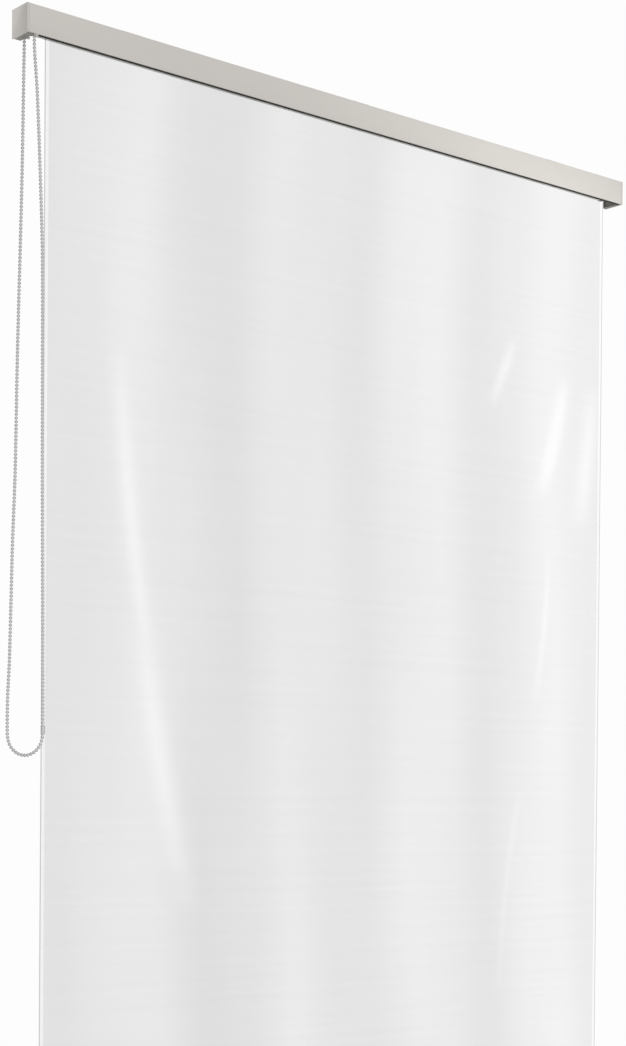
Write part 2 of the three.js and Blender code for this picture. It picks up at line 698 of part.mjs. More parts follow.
add(rail, "film_keder", whitePlastic, rod(-railEnd, railEnd, kederRadius, 16))
  .position.z = -kederDrop;
const barMiddle = (barTop + barBottom) / 2;
add(rail, "weight_bar", steel, box(
  weightBarInset - railEnd, railEnd - weightBarInset, -weightBarDepth / 2, weightBarDepth / 2,
  barMiddle - weightBarHeight / 2, barMiddle + weightBarHeight / 2,
));

function railCap(side) {
  const inner = side * (railEnd + slipFit);
  const outline = rectangle(-railHalf, railHalf, -railHeight, 0, railCornerRadius);
  const inside = railHalf - railWall - slipFit;
  return solidOf(bar(outline, inner, inner + side * railCapPlate)).add(solidOf(box(
    inner + side, inner - side * railCapPlug, -inside, inside,
    barBottom + railCornerRadius, barTop - slipFit,
  )));
}
add(rail, "left_rail_cap", greyPlastic, railCap(-1));
add(rail, "right_rail_cap", greyPlastic, railCap(1));

// ---- bead chain ----

const route = new THREE.CatmullRomCurve3(chainRoute.map((p) => new THREE.Vector3(...p)));
const routeLength = route.getLength();
const bottomStart = connectorDistance + connectorLength / 2 + slipFit;
const bottomEnd = routeLength - connectorDistance - connectorLength / 2;
[
  ["chain_front_run", 0, connectorDistance - connectorLength / 2 - slipFit, 27],
  ["chain_bottom_loop", bottomStart, bottomEnd, 14],
  ["chain_back_run", bottomEnd + slipFit, routeLength, 27],
].forEach(([name, from, to, steps]) => {
  add(group, name, beads, swept(new Stretch(route, from, to), chainRadius, steps));
});

const connector = add(group, "chain_connector", darkPlastic, upright([
  [-connectorLength / 2, connectorRadius - connectorChamfer],
  [connectorChamfer - connectorLength / 2, connectorRadius],
  [connectorLength / 2 - connectorChamfer, connectorRadius],
  [connectorLength / 2, connectorRadius - connectorChamfer],
], 12));
connector.position.copy(route.getPointAt(connectorDistance / routeLength));
connector.quaternion.setFromUnitVectors(
  new THREE.Vector3(0, 0, -1),
  route.getTangentAt(connectorDistance / routeLength),
);

// The beads that lie on the wheel, from the guard's front opening over the top to its back opening.
class OverWheel extends THREE.Curve {
  getPoint(t, target = new THREE.Vector3()) {
    const drop = -chainRoute[0][2] - slipFit - axisDrop;
    const total = 2 * drop + Math.PI * wheelPitchRadius;
    const along = t * total;
    if (along < drop) return target.set(wheelX, -wheelPitchRadius, along - drop);
    if (along > total - drop) return target.set(wheelX, wheelPitchRadius, total - drop - along);
    const angle = (along - drop) / wheelPitchRadius;
    return target.set(
      wheelX, -wheelPitchRadius * Math.cos(angle), wheelPitchRadius * Math.sin(angle),
    );
  }
}
add(group, "chain_on_wheel", beads, swept(new OverWheel(), chainRadius, 16))
  .position.z = -axisDrop;

export default group;
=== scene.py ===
import json
import math

import bmesh
import bpy
from bpy.props import FloatProperty, FloatVectorProperty, IntProperty, PointerProperty
from mathutils import Matrix, Vector

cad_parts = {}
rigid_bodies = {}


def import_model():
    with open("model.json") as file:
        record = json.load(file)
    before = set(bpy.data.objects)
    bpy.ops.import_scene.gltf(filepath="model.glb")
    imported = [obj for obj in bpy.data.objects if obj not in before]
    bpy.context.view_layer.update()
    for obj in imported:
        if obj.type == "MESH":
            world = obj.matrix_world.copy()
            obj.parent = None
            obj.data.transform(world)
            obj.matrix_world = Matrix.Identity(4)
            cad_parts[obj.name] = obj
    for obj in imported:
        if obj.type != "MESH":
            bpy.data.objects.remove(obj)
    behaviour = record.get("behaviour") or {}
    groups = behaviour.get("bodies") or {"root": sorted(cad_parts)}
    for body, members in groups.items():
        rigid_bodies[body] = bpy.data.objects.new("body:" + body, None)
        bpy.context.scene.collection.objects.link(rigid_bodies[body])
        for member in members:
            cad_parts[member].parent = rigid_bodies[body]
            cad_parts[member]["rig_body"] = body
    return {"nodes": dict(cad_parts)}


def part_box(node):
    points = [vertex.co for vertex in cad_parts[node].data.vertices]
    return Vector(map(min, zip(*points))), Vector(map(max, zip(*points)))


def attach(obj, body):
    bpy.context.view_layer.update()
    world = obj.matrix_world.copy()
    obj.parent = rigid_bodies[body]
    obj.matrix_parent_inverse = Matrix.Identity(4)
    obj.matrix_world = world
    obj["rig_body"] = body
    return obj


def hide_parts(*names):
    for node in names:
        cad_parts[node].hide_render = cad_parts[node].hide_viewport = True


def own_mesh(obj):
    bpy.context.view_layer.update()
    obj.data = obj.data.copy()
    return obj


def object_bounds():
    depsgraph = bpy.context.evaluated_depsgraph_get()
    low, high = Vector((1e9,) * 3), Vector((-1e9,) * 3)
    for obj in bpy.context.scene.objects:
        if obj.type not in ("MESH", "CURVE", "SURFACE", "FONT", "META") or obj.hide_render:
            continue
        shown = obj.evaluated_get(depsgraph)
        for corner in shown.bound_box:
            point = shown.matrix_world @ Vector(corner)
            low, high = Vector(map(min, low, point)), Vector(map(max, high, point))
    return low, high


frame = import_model()
CAD_LOW, CAD_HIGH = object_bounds()

bl_info = {
    "name": "Roller shower curtain",
    "version": (1, 0, 0),
    "blender": (4, 5, 0),
    "location": "3D View > Sidebar > Shower curtain",
    "description": "Dresses a roller shower curtain: clear film, bead chain and metal finishes",
    "category": "Object",
}

# The bead chain's free run in metres: out of the guard's front, down, round and up to its back.
CHAIN_ROUTE = [
    (-0.7112, -0.0153, -0.046), (-0.7107, -0.0157, -0.075), (-0.7074, -0.0186, -0.135),
    (-0.7049, -0.0208, -0.205), (-0.7026, -0.0229, -0.281), (-0.7006, -0.0245, -0.350),
    (-0.6994, -0.0257, -0.412), (-0.6987, -0.0262, -0.500), (-0.6984, -0.0265, -0.590),
    (-0.6981, -0.0268, -0.680), (-0.6978, -0.0271, -0.766), (-0.6970, -0.0278, -0.882),
    (-0.6963, -0.0283, -0.972), (-0.6958, -0.0287, -1.070), (-0.6954, -0.0291, -1.136),
    (-0.6952, -0.0293, -1.182), (-0.6956, -0.0287, -1.200), (-0.6982, -0.0241, -1.215),
    (-0.7039, -0.0135, -1.226), (-0.7112, 0.0, -1.230), (-0.7185, 0.0135, -1.226),
    (-0.7242, 0.0241, -1.215), (-0.7268, 0.0287, -1.200), (-0.7272, 0.0293, -1.182),
    (-0.7270, 0.0291, -1.136), (-0.7250, 0.0273, -1.070), (-0.7234, 0.0260, -0.972),
    (-0.7221, 0.0248, -0.882), (-0.7194, 0.0224, -0.766), (-0.7184, 0.0216, -0.680),
    (-0.7176, 0.0209, -0.590), (-0.7164, 0.0199, -0.500), (-0.7150, 0.0187, -0.412),
    (-0.7141, 0.0178, -0.350), (-0.7131, 0.0170, -0.281), (-0.7124, 0.0163, -0.205),
    (-0.7119, 0.0159, -0.135), (-0.7114, 0.0155, -0.075), (-0.7112, 0.0153, -0.046),
]


# ---- sizes that the pieces share, in metres ----

FILM_LOW, FILM_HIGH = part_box("film")
FILM_WIDTH = FILM_HIGH.x - FILM_LOW.x
FILM_LENGTH = FILM_HIGH.z - FILM_LOW.z
FILM_THICKNESS = FILM_HIGH.y - FILM_LOW.y
FILM_PLANE = (FILM_LOW.y + FILM_HIGH.y) / 2
CREASE_RISE = 0.0006  # how far a full crease stands forward
ROLL_LOW, ROLL_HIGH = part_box("wound_film")
AXIS_Z = (ROLL_LOW.z + ROLL_HIGH.z) / 2
ROLL_START, ROLL_TURN = math.radians(96), math.radians(348)  # where the last turn starts, its reach
ROLL_STEPS = 96
ROLL_PLAY = 0.00002  # between the last turn and the wound film's outside
SPRING_WIRE = 0.001
WHEEL_LOW, WHEEL_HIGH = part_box("chain_wheel")
WHEEL_X = (WHEEL_LOW.x + WHEEL_HIGH.x) / 2
WHEEL_POCKETS = 16
WHEEL_RIM = 0.0042  # depth of the wheel's ring, from its rim in
POCKET_PLAY, GROOVE_PLAY = 0.0002, 0.0001  # round a bead in its pocket and in the groove
CHAIN_INSIDE, CHAIN_STRAIGHT = 0.003, 0.009  # above the guard's openings, and below the axis

# The upper half of the chain's connector, as shares of its half length and of its radius.
BARREL = ((0.10, 0.86), (0.20, 0.95), (0.30, 1), (0.66, 1), (0.84, 0.93), (0.94, 0.80), (1, 0.62))

# Soft creases in the film, each a slight ridge and a painted highlight where the film hides less,
# in metres: across and down to a crease's middle, half its height, how far its top leans to the
# right, how far its middle bows out, its width, and, from 0 to 1, its strength.
CREASES = [
    (1.077, 0.420, 0.075, 0.034, 0.000, 0.0130, 0.65),
    (1.222, 0.528, 0.130, 0.036, 0.006, 0.0200, 0.70),
    (1.322, 0.560, 0.155, 0.020, 0.004, 0.0240, 0.60),
    (1.190, 0.930, 0.160, 0.020, 0.010, 0.0080, 0.35),
    (1.110, 1.450, 0.220, 0.030, -0.012, 0.0070, 0.25),
    (0.190, 0.800, 0.300, -0.040, -0.012, 0.0180, 0.6),
    (0.255, 1.200, 0.270, -0.055, -0.014, 0.0250, 0.6),
]


# ---- how meshes and finishes are made ----

MERGE = 1e-6  # corners of a CAD mesh this near to each other are one corner
FLAT_TURN = math.radians(0.5)  # CAD faces that turn less than this are one face
HARD_TURN = math.radians(32)  # edges that turn more than this are eased
SHARP_METAL, SHARP_FILM = 35, 50  # degrees, past which an edge stays sharp
BEAD_SEGMENTS, BEAD_RINGS, CORD_SIDES = 10, 7, 6
COIL_STEPS, WIRE_SIDES = 40, 12

GRAIN_INPUTS = (
    "Colour", "Colour Spread", "Roughness", "Roughness Spread", "Grain Scale", "Stretch",
    "Mottle Scale", "Mottle")
MOTTLE_SCALE = 7.0

# Metals and plastics: the setting that holds the colour, how metallic, roughness, spread of the
# colour and of the roughness, grain scale, stretch, mottle, and the relief's depth in metres.
GRAINED = {
    "anodised_aluminium": ("aluminium", 0.85, 0.42, 0.05, 0.08, 900, 0.02, 0.05, 2e-5),
    "plated_steel": ("steel", 1.0, 0.34, 0.10, 0.14, 500, 0.3, 0.12, 3e-5),
    "spring_steel": ("spring", 1.0, 0.38, 0.08, 0.10, 700, 1.0, 0.10, 1e-5),
    "grey_plastic": ("grey", 0.0, 0.52, 0.06, 0.10, 1500, 1.0, 0.07, 6e-5),
    "dark_plastic": ("dark", 0.0, 0.55, 0.10, 0.10, 1500, 1.0, 0.10, 6e-5),
    "white_plastic": ("white", 0.0, 0.40, 0.03, 0.08, 1300, 1.0, 0.04, 3e-5),
    "wiper_rubber": ("rubber", 0.0, 0.75, 0.20, 0.12, 1100, 0.3, 0.20, 8e-5),
}
# Clear finishes: their tone where it is fixed, then a value for each of GRAIN_INPUTS but the first.
PAINTED_RIM_SHADE = (0.006, 0.006, 0.005, 1)  # painted shade: the near black put on a clear bead's rim, where it turns from the eye
BEAD_GRAIN = (0.04, 0.12, 0.08, 300, 1, 25, 0.08)
ROLL_TONE = (0.90, 0.905, 0.90, 1)
ROLL_GRAIN = (0.04, 0.14, 0.1, 40, 0.2, 6, 0.1)
PAINTED_RIM_FROM, PAINTED_RIM_TO = 0.27, 0.40  # where a bead's painted dark rim begins and where it is full, from 0 where it faces the eye to 1 at its outline
WAIST_TO, END_FROM = 0.50, 0.75  # shares of a bead's half length with a full painted dark rim and with none

# The values that the film keeps at each corner, and how much each mark adds to what it hides.
FILM_LAYERS = ("wave", "hem", "down", "crease")
# The crease mark, below nought, paints highlights on the creases, where the film hides less.
# The fall mark makes the film hide more towards the bottom right, so the painted glare fades
# downwards.
# The wave mark paints bands of light and shade along the film's waves.
PAINTED_BAND_MARK, HEM_MARK, GLARE_FADE_MARK, CREASE_HIGHLIGHT_MARK = 0.032, 0.16, 0.022, -0.10
# The ripple mark paints soft bands of light and shade over the ripple relief.
PAINTED_RIPPLE_MARK, STREAK_MARK = 0.05, 0.022
RIPPLE_SCALE, STREAK_SCALE = (5.0, 0.9, 1.0), (1.6, 75.0, 1.0)  # across, down and through the film
PAINTED_GLARE_SPAN, PAINTED_GLARE_LOSS = (0.55, 1.25), 0.066  # metres across, and how much less it hides past them: a painted glare that makes the film's right side lighter


# ---- settings a user would change ----

class CURTAIN_PG_camera(bpy.types.PropertyGroup):
    place: FloatVectorProperty(
        name="Place", description="Where the camera stands", size=3, subtype="XYZ", unit="LENGTH",
        default=(-2.4925, -2.8502, -1.2860))
    yaw: FloatProperty(
        name="Yaw", description="Turn of the view from +X towards +Y", subtype="ANGLE",
        default=0.8715)
    pitch: FloatProperty(
        name="Pitch", description="Tilt of the view above the horizon", subtype="ANGLE",
        default=-0.0144)
    roll: FloatProperty(
        name="Roll", description="Turn of the picture about the view", subtype="ANGLE",
        default=0.0084)
    lens: FloatProperty(
        name="Lens", description="Focal length", subtype="DISTANCE_CAMERA", default=69.2)
    shift: FloatVectorProperty(
        name="Shift", description="Lens shift, as shares of the picture's long side", size=2,
        default=(0.0037, 0.2845))


class CURTAIN_PG_studio(bpy.types.PropertyGroup):
    floor_gap: FloatProperty(
        name="Floor gap", description="Gap between the lowered rail and the floor", unit="LENGTH",
        default=0.06)
    floor_radius: FloatProperty(
        name="Floor radius", description="Radius of the round floor", unit="LENGTH", default=5.0)
    backdrop: FloatVectorProperty(
        name="Backdrop", description="Colour seen behind the curtain", size=4, subtype="COLOR",
        default=(0.982, 0.982, 0.982, 1))
    dark_side: FloatProperty(
        name="Dark side", description="Light from the side of the chain", default=0.60)
    light_side: FloatProperty(
        name="Light side", description="Light from the far side", default=1.16)
    key_power: FloatProperty(
        name="Key power", description="Power of the soft light in front", unit="POWER", default=9.0)
    fill_power: FloatProperty(
        name="Fill power", description="Power of the soft light behind", unit="POWER", default=11.0)
    side_power: FloatProperty(
        name="Side power", description="Power of the soft light beyond the cassette's far end",
        unit="POWER", default=20.0)


class CURTAIN_PG_film(bpy.types.PropertyGroup):
    wave_height: FloatProperty(
        name="Wave height", description="How far the film's soft waves stand forward",
        unit="LENGTH", default=0.0026)
    wave_spacing: FloatProperty(
        name="Wave spacing", description="Distance from one upright wave to the next",
        unit="LENGTH", default=0.336)
    still_top: FloatProperty(
        name="Still top", description="Length below the roller that hangs flat", unit="LENGTH",
        default=0.05)
    settle: FloatProperty(
        name="Settle", description="Length over which the waves grow and die away", unit="LENGTH",
        default=0.35)
    hem: FloatProperty(
        name="Hem", description="Width of the cut edge that catches the light", unit="LENGTH",
        default=0.0018)
    weld: FloatProperty(
        name="Weld", description="How far in the clear strip along each long edge reaches",
        unit="LENGTH", default=0.0080)
    columns: IntProperty(
        name="Columns", description="Mesh steps across the film", default=210, min=8)
    rows: IntProperty(
        name="Rows", description="Mesh steps down the film", default=150, min=8)
    tint: FloatVectorProperty(
        name="Tint", description="Colour of the clear film", size=4, subtype="COLOR",
        default=(0.26, 0.265, 0.258, 1))
    veil: FloatProperty(
        name="Veil", description="How much one face of the film hides", subtype="FACTOR",
        default=0.131, min=0, max=1)


class CURTAIN_PG_chain(bpy.types.PropertyGroup):
    bead: FloatProperty(
        name="Bead", description="Diameter of a bead", unit="LENGTH", default=0.0057)
    pitch: FloatProperty(
        name="Pitch", description="Distance from bead to bead", unit="LENGTH", default=0.006)
    cord: FloatProperty(
        name="Cord", description="Diameter of the cord through the beads", unit="LENGTH",
        default=0.0014)
    tint: FloatVectorProperty(
        name="Tint", description="Colour of the clear beads", size=4, subtype="COLOR",
        default=(0.97, 0.97, 0.965, 1))


class CURTAIN_PG_finishes(bpy.types.PropertyGroup):
    aluminium: FloatVectorProperty(
        name="Aluminium", description="Satin anodised profiles", size=4, subtype="COLOR",
        default=(0.71, 0.68, 0.64, 1))
    steel: FloatVectorProperty(
        name="Steel", description="Zinc plated clips and bright parts", size=4, subtype="COLOR",
        default=(0.56, 0.57, 0.58, 1))
    spring: FloatVectorProperty(
        name="Spring", description="Spring steel", size=4, subtype="COLOR",
        default=(0.32, 0.33, 0.34, 1))
    grey: FloatVectorProperty(
        name="Grey plastic", description="Housing, bracket and guard", size=4, subtype="COLOR",
        default=(0.30, 0.29, 0.265, 1))
    dark: FloatVectorProperty(
        name="Dark plastic", description="Drum and plug", size=4, subtype="COLOR",
        default=(0.11, 0.108, 0.10, 1))
    white: FloatVectorProperty(
        name="White plastic", description="Wheel, bush and strips", size=4, subtype="COLOR",
        default=(0.80, 0.80, 0.77, 1))
    rubber: FloatVectorProperty(
        name="Rubber", description="Wiper lip", size=4, subtype="COLOR",
        default=(0.022, 0.02, 0.018, 1))
    ease: FloatProperty(
        name="Ease", description="Width of the small rounding on hard edges", unit="LENGTH",
        default=0.00025)


# ---- meshes ----

def evaluated_mesh(obj, name):
    """A plain mesh of what an object's modifiers make. The object goes."""
    graph = bpy.context.evaluated_depsgraph_get()
    mesh = bpy.data.meshes.new_from_object(obj.evaluated_get(graph), depsgraph=graph)
    mesh.name = name
    bpy.data.objects.remove(obj)
    return mesh


def carrier(data):
    """A passing object that holds a mesh or a curve while modifiers work on it."""
    obj = bpy.data.objects.new("carrier", data)
    bpy.context.scene.collection.objects.link(obj)
    return obj


def mesh_from(bm, name):
    """A plain mesh of what a bmesh holds. The bmesh goes."""
    mesh = bpy.data.meshes.new(name)
    bm.to_mesh(mesh)
    bm.free()
    return mesh


def smooth_solid(bm, name, sharp):
    """A closed mesh that faces out and is smooth, but for edges that turn past sharp degrees."""
    bmesh.ops.recalc_face_normals(bm, faces=bm.faces)
    for face in bm.faces:
        face.smooth = True
    mesh = mesh_from(bm, name)
    mesh.set_sharp_from_angle(angle=math.radians(sharp))
    return mesh


def skin(bm, rings, looped):
    """Faces from one ring of corners to the next, then back to the first ring or over both ends."""
    for low, high in zip(rings, rings[1:] + rings[:1] if looped else rings[1:]):
        for i in range(len(low)):
            j = (i + 1) % len(low)
            bm.faces.new((low[i], low[j], high[j], high[i]))
    if not looped:
        bm.faces.new(list(reversed(rings[0])))
        bm.faces.new(rings[-1])


def eased(node, width):
    """A copy of a CAD node's mesh with its hard edges rounded a little."""
    mesh = frame["nodes"][node].data.copy()
    mesh.materials.clear()
    bm = bmesh.new()
    bm.from_mesh(mesh)
    bmesh.ops.remove_doubles(bm, verts=bm.verts, dist=MERGE)
    bmesh.ops.dissolve_limit(bm, angle_limit=FLAT_TURN, verts=bm.verts, edges=bm.edges)
    for face in bm.faces:
        face.smooth = True
    bm.to_mesh(mesh)
    bm.free()
    obj = carrier(mesh)
    bevel = obj.modifiers.new("ease", "BEVEL")
    bevel.width = width
    bevel.segments = 2
    bevel.limit_method = "ANGLE"
    bevel.angle_limit = HARD_TURN
    bevel.use_clamp_overlap = True
    bevel.harden_normals = True
    return evaluated_mesh(obj, node + "_eased")


def turned_mesh(name, stations, sides, centre, axis, bore):
    """A round solid with a bore about an axis. stations is a list of (distance along, radius)."""
    turn = Vector(axis).normalized().to_track_quat("Z", "Y").to_matrix()
    profile = stations + [(stations[-1][0], bore), (stations[0][0], bore)]
    bm = bmesh.new()
    rings = []
    for along, radius in profile:
        ring = []
        for i in range(sides):
            angle = 2 * math.pi * i / sides
            local = Vector((radius * math.cos(angle), radius * math.sin(angle), along))
            ring.append(bm.verts.new(Vector(centre) + turn @ local))
        rings.append(ring)
    skin(bm, rings, looped=True)
    return smooth_solid(bm, name, SHARP_METAL)


def round_axis(x, radius, angle):
    """A place at a radius from the roller's axis, at an angle that turns from +Y towards +Z."""
    return Vector((x, radius * math.cos(angle), AXIS_Z + radius * math.sin(angle)))


def piece(name, mesh, body, slot, finish_name, *nodes):
    """A mesh as a piece with its finish that rides on a body and stands for CAD nodes."""
    obj = bpy.data.objects.new(name, mesh)
    bpy.context.scene.collection.objects.link(obj)
    mesh.materials.clear()
    mesh.materials.append(finish(finish_name))
    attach(obj, body)
    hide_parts(*nodes)
    return obj


def ease_nodes(finish_name, share, *nodes, slot=None):
    """An eased piece of one finish in place of each CAD node, on the node's own body.

    share is how much of the usual ease its edges get. slot is not used.
    """
    width = share * bpy.context.scene.curtain_finishes.ease
    for node in nodes:
        body = frame["nodes"][node]["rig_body"]
        piece(node + "_shape", eased(node, width), body, slot or finish_name, finish_name, node)


def smooth_route(points, step):
    """A Catmull-Rom line through points, as a list of points about step apart."""
    places = [Vector(p) for p in points]
    ends = [places[0] * 2 - places[1], places[-1] * 2 - places[-2]]
    padded = [ends[0]] + places + [ends[1]]
    line = [places[0]]
    for a, b, c, d in zip(padded, padded[1:], padded[2:], padded[3:]):
        count = max(1, round((c - b).length / step))
        for i in range(1, count + 1):
            t = i / count
            line.append(0.5 * (
                2 * b + (c - a) * t + (2 * a - 5 * b + 4 * c - d) * t ** 2
                + (3 * b - a - 3 * c + d) * t ** 3))
    return line


def route_curve(name, line):
    """A straight-stepped curve through a line's points."""
    curve = bpy.data.curves.new(name, "CURVE")
    curve.dimensions = "3D"
    spline = curve.splines.new("POLY")
    spline.points.add(len(line) - 1)
    for point, place in zip(spline.points, line):
        point.co = (*place, 1)
    return curve


# ---- node trees ----

def new_group(name, kind, inputs, outputs):
    """A node group whose sockets are (name, kind) pairs, with the nodes at its two ends."""
    group = bpy.data.node_groups.new(name, kind)
    for way, sockets in (("INPUT", inputs), ("OUTPUT", outputs)):
        for label, socket in sockets:
            group.interface.new_socket(label, in_out=way, socket_type="NodeSocket" + socket)
    return group, group.nodes.new("NodeGroupInput"), group.nodes.new("NodeGroupOutput")


def feed(tree, node, inputs):
    """Gives each input of a node, by its name or number, a value or another node's output."""
    for key, value in dict(inputs).items():
        if isinstance(value, bpy.types.NodeSocket):
            tree.links.new(value, node.inputs[key])
        else:
            node.inputs[key].default_value = value


def add_node(tree, kind, inputs=(), **settings):
    """A node with its settings and its inputs."""
    node = tree.nodes.new(kind)
    for name, value in settings.items():
        setattr(node, name, value)
    feed(tree, node, inputs)
    return node


def maths(tree, operation, *values, clamp=False):
    """What a Math node makes of its values, as an output."""
    node = add_node(
        tree, "ShaderNodeMath", enumerate(values), operation=operation, use_clamp=clamp)
    return node.outputs[0]


def geometry_tree(name, inputs):
    """A geometry tree with a Geometry in and out, and the named inputs between them."""
    geometry = [("Geometry", "Geometry")]
    return new_group(name, "GeometryNodeTree", geometry + inputs, geometry)


def round_wire(tree, curve, diameter, sides):
    """A round wire with closed ends along a curve, as an output."""
    section = add_node(tree, "GeometryNodeCurvePrimitiveCircle", {
        "Resolution": sides, "Radius": maths(tree, "MULTIPLY", diameter, 0.5)})
    wire = add_node(tree, "GeometryNodeCurveToMesh", {
        "Curve": curve, "Profile Curve": section.outputs["Curve"], "Fill Caps": True})
    return wire.outputs["Mesh"]


def finish_tree(tree, source, given, target):
    """Ends a tree: real meshes, smooth faces and one finish."""
    real = add_node(tree, "GeometryNodeRealizeInstances", {"Geometry": source})
    smooth = add_node(
        tree, "GeometryNodeSetShadeSmooth", {"Geometry": real.outputs["Geometry"]})
    paint = add_node(tree, "GeometryNodeSetMaterial", {
        "Geometry": smooth.outputs["Geometry"], "Material": given.outputs["Finish"]})
    feed(tree, target, {"Geometry": paint.outputs["Geometry"]})


def run_tree(tree, data, values, name):
    """Runs a geometry tree on a curve or mesh, and gives what it makes as a plain mesh."""
    obj = carrier(data)
    modifier = obj.modifiers.new(tree.name, "NODES")
    modifier.node_group = tree
    for item in tree.interface.items_tree:
        if item.in_out == "INPUT" and item.name in values:
            modifier[item.identifier] = values[item.name]
    return evaluated_mesh(obj, name)


def bead_chain_tree():
    """Beads threaded on a cord, one every pitch along the curve that comes in.

    Each bead keeps how near its ends a place is, from 0 at its waist to 1, in "along".
    """
    tree, given, target = geometry_tree("bead_chain", [
        ("Bead", "Float"), ("Pitch", "Float"), ("Cord", "Float"), ("Finish", "Material")])
    spaced = add_node(tree, "GeometryNodeResampleCurve", {
        "Curve": given.outputs["Geometry"], "Length": given.outputs["Pitch"]}, mode="LENGTH")
    radius = maths(tree, "MULTIPLY", given.outputs["Bead"], 0.5)
    bead = add_node(tree, "GeometryNodeMeshUVSphere", {
        "Segments": BEAD_SEGMENTS, "Rings": BEAD_RINGS, "Radius": radius})
    where = add_node(tree, "GeometryNodeInputPosition")
    parts = add_node(tree, "ShaderNodeSeparateXYZ", {"Vector": where.outputs["Position"]})
    share = maths(tree, "DIVIDE", maths(tree, "ABSOLUTE", parts.outputs["Z"]), radius)
    marked = add_node(tree, "GeometryNodeStoreNamedAttribute", {
        "Geometry": bead.outputs["Mesh"], "Name": "along", "Value": share,
    }, data_type="FLOAT", domain="POINT")
    tangent = add_node(tree, "GeometryNodeInputTangent")
    aim = add_node(
        tree, "FunctionNodeAlignRotationToVector", {"Vector": tangent.outputs["Tangent"]}, axis="Z")
    threaded = add_node(tree, "GeometryNodeInstanceOnPoints", {
        "Points": spaced.outputs["Curve"], "Instance": marked.outputs["Geometry"],
        "Rotation": aim.outputs["Rotation"]})
    both = add_node(tree, "GeometryNodeJoinGeometry", {"Geometry": threaded.outputs["Instances"]})
    cord = round_wire(tree, spaced.outputs["Curve"], given.outputs["Cord"], CORD_SIDES)
    feed(tree, both, {"Geometry": cord})
    finish_tree(tree, both.outputs["Geometry"], given, target)
    return tree


def coil_spring_tree():
    """A round wire wound about the X axis, from the start that comes in as a point."""
    tree, given, target = geometry_tree("coil_spring", [
        ("Start", "Vector"), ("Length", "Float"), ("Radius", "Float"), ("Turns", "Float"),
        ("Wire", "Float"), ("Finish", "Material")])
    coil = add_node(tree, "GeometryNodeCurveSpiral", {
        "Resolution": COIL_STEPS, "Rotations": given.outputs["Turns"],
        "Start Radius": given.outputs["Radius"], "End Radius": given.outputs["Radius"],
        "Height": given.outputs["Length"]})
    laid = add_node(tree, "GeometryNodeTransform", {
        "Geometry": coil.outputs["Curve"], "Translation": given.outputs["Start"],
        "Rotation": (0, math.pi / 2, 0)})
    wire = round_wire(tree, laid.outputs["Geometry"], given.outputs["Wire"], WIRE_SIDES)
    finish_tree(tree, wire, given, target)
    return tree


# ---- finishes ----

def ramp(tree, value, low, high, start=0, end=1):
    """A value that goes from start to end as another goes from low to high, as an output."""
    node = add_node(tree, "ShaderNodeMapRange", {
        "Value": value, "From Min": low, "From Max": high, "To Min": start, "To Max": end})
    return node.outputs["Result"]


def mixed_colour(tree, share, first, second):
    """A colour that goes from a first to a second by a share, as an output."""
    node = add_node(
        tree, "ShaderNodeMix", {"Factor": share, "A": first, "B": second}, data_type="RGBA")
    return node.outputs["Result"]


def spread_value(tree, noise, middle, spread):
    """middle + spread * (noise - 0.5), as an output."""
    return maths(tree, "MULTIPLY_ADD", maths(tree, "SUBTRACT", noise, 0.5), spread, middle)


def surface_grain():
    """Fine grain and broad mottling. Stretch draws the grain out along X, as on an extrusion."""
    if "surface_grain" in bpy.data.node_groups:
        return bpy.data.node_groups["surface_grain"]
    inputs = [(label, "Color" if label == "Colour" else "Float") for label in GRAIN_INPUTS]
    group, given, target = new_group("surface_grain", "ShaderNodeTree", inputs, [
        ("Colour", "Color"), ("Roughness", "Float"), ("Height", "Float")])
    asked = given.outputs
    place = add_node(group, "ShaderNodeTexCoord").outputs["Object"]
    shrink = add_node(group, "ShaderNodeCombineXYZ", {"X": asked["Stretch"], "Y": 1, "Z": 1})
    drawn = add_node(
        group, "ShaderNodeVectorMath", {0: place, 1: shrink.outputs["Vector"]},
        operation="MULTIPLY")
    grain = add_node(group, "ShaderNodeTexNoise", {
        "Vector": drawn.outputs[0], "Scale": asked["Grain Scale"], "Detail": 4}).outputs["Fac"]
    mottle = add_node(group, "ShaderNodeTexNoise", {
        "Vector": place, "Scale": asked["Mottle Scale"], "Detail": 2}).outputs["Fac"]
    fine = spread_value(group, grain, 1, asked["Colour Spread"])
    tone = add_node(group, "ShaderNodeVectorMath", {
        0: asked["Colour"], "Scale": spread_value(group, mottle, fine, asked["Mottle"]),
    }, operation="SCALE")
    rough = spread_value(group, mottle, asked["Roughness"], asked["Roughness Spread"])
    feed(group, target, {"Colour": tone.outputs[0], "Roughness": rough, "Height": grain})
    return group


def grain_node(tree, *values):
    """The surface grain placed in a finish, with a value for each of GRAIN_INPUTS."""
    return add_node(
        tree, "ShaderNodeGroup", zip(GRAIN_INPUTS, values), node_tree=surface_grain())


def base_material(name):
    """A new finish, its node tree and its Principled shader."""
    material = bpy.data.materials.new(name + "_finish")
    material.use_nodes = True
    return material, material.node_tree, material.node_tree.nodes["Principled BSDF"]


def grained(name):
    """A metal or plastic whose colour, roughness and relief come from the surface grain."""
    (setting, metallic, roughness, spread, rough_spread, grain, stretch, mottle,
     depth) = GRAINED[name]
    colour = getattr(bpy.context.scene.curtain_finishes, setting)
    material, tree, shader = base_material(name)
    surface = grain_node(
        tree, colour, spread, roughness, rough_spread, grain, stretch, MOTTLE_SCALE, mottle)
    relief = add_node(tree, "ShaderNodeBump", {
        "Height": surface.outputs["Height"], "Strength": 0.35, "Distance": depth})
    feed(tree, shader, {
        "Base Color": surface.outputs["Colour"], "Roughness": surface.outputs["Roughness"],
        "Normal": relief.outputs["Normal"], "Metallic": metallic})
    return material


